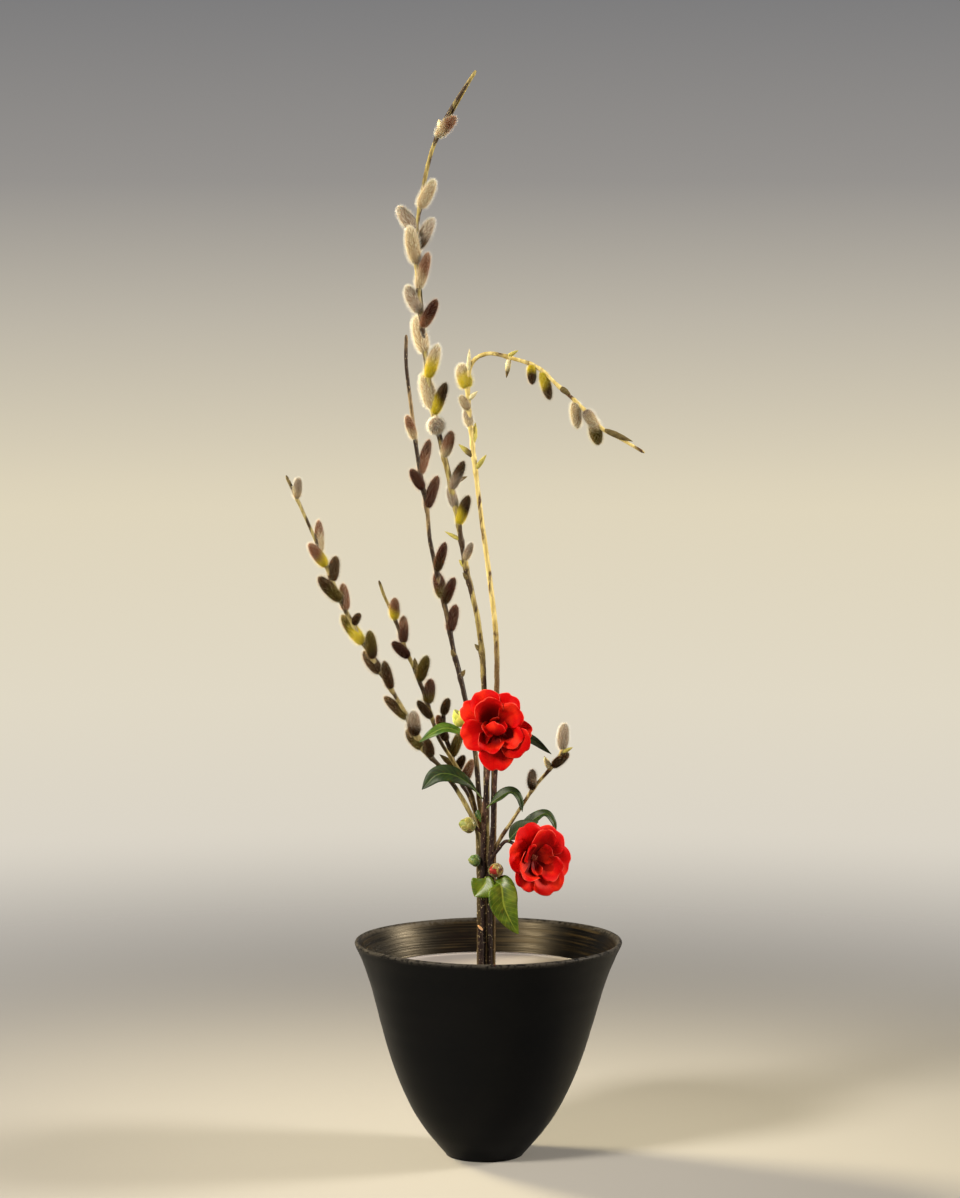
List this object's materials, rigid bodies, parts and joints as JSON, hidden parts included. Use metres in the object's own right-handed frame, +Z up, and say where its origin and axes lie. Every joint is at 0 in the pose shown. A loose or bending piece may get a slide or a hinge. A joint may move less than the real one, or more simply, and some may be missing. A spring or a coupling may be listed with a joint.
{
  "type": "ikebana arrangement",
  "caption": "Ikebana arrangement: tall pussy willow sprays and red camellias with leaves and buds, standing in a pin holder in a dark flared vase of water.",
  "frame": {"origin": "centre of the vase's flat foot, on the surface it stands on", "axes": "+Z up through the vase; the arrangement faces -Y, with +X to the viewer's right"},
  "size_m": [0.309, 0.235, 0.9455],
  "materials": {
    "vase": "near-black satin glaze, turned inside, worn paler lip",
    "water": "still clear water",
    "pin_holder": "dull grey lead plate with short metal pins",
    "willow": "yellow-brown bark with silky silver, pink and dark catkins",
    "camellia_wood": "dark rough bark",
    "leaf": "glossy waxy green leaf",
    "bud": "overlapping yellow-green scales",
    "petal": "soft bright red petal",
    "stamens": "pollen-dusted filaments"
  },
  "bodies": {
    "root": {"vase": "vase", "water": "water", "pin_holder": "pin_holder", "willow_tall": "willow", "willow_second": "willow", "willow_bent": "willow", "willow_left": "willow", "willow_inner": "willow", "willow_short": "willow", "willow_right": "willow", "camellia_stem_upper": "camellia_wood", "camellia_stem_lower": "camellia_wood", "cut_stub": "camellia_wood", "leaf_upper_left": "leaf", "leaf_middle_left": "leaf", "leaf_middle_right": "leaf", "leaf_behind_upper": "leaf", "leaf_broad_lower": "leaf", "leaf_arched_lower": "leaf", "leaf_low_left": "leaf", "leaf_low_right": "leaf", "leaf_small": "leaf", "bud_pale": "bud", "bud_left": "bud", "bud_front": "bud", "bud_folded": "bud", "upper_flower_calyx": "bud", "upper_flower_stamens": "stamens", "upper_flower_petal_01": "petal", "upper_flower_petal_02": "petal", "upper_flower_petal_03": "petal", "upper_flower_petal_04": "petal", "upper_flower_petal_05": "petal", "upper_flower_petal_06": "petal", "upper_flower_petal_07": "petal", "upper_flower_petal_08": "petal", "upper_flower_petal_09": "petal", "upper_flower_petal_10": "petal", "upper_flower_petal_11": "petal", "upper_flower_petal_12": "petal", "upper_flower_petal_13": "petal", "upper_flower_petal_14": "petal", "upper_flower_petal_15": "petal", "lower_flower_calyx": "bud", "lower_flower_stamens": "stamens", "lower_flower_petal_01": "petal", "lower_flower_petal_02": "petal", "lower_flower_petal_03": "petal", "lower_flower_petal_04": "petal", "lower_flower_petal_05": "petal", "lower_flower_petal_06": "petal", "lower_flower_petal_07": "petal", "lower_flower_petal_08": "petal", "lower_flower_petal_09": "petal", "lower_flower_petal_10": "petal", "lower_flower_petal_11": "petal", "lower_flower_petal_12": "petal"}
  },
  "joints": []
}
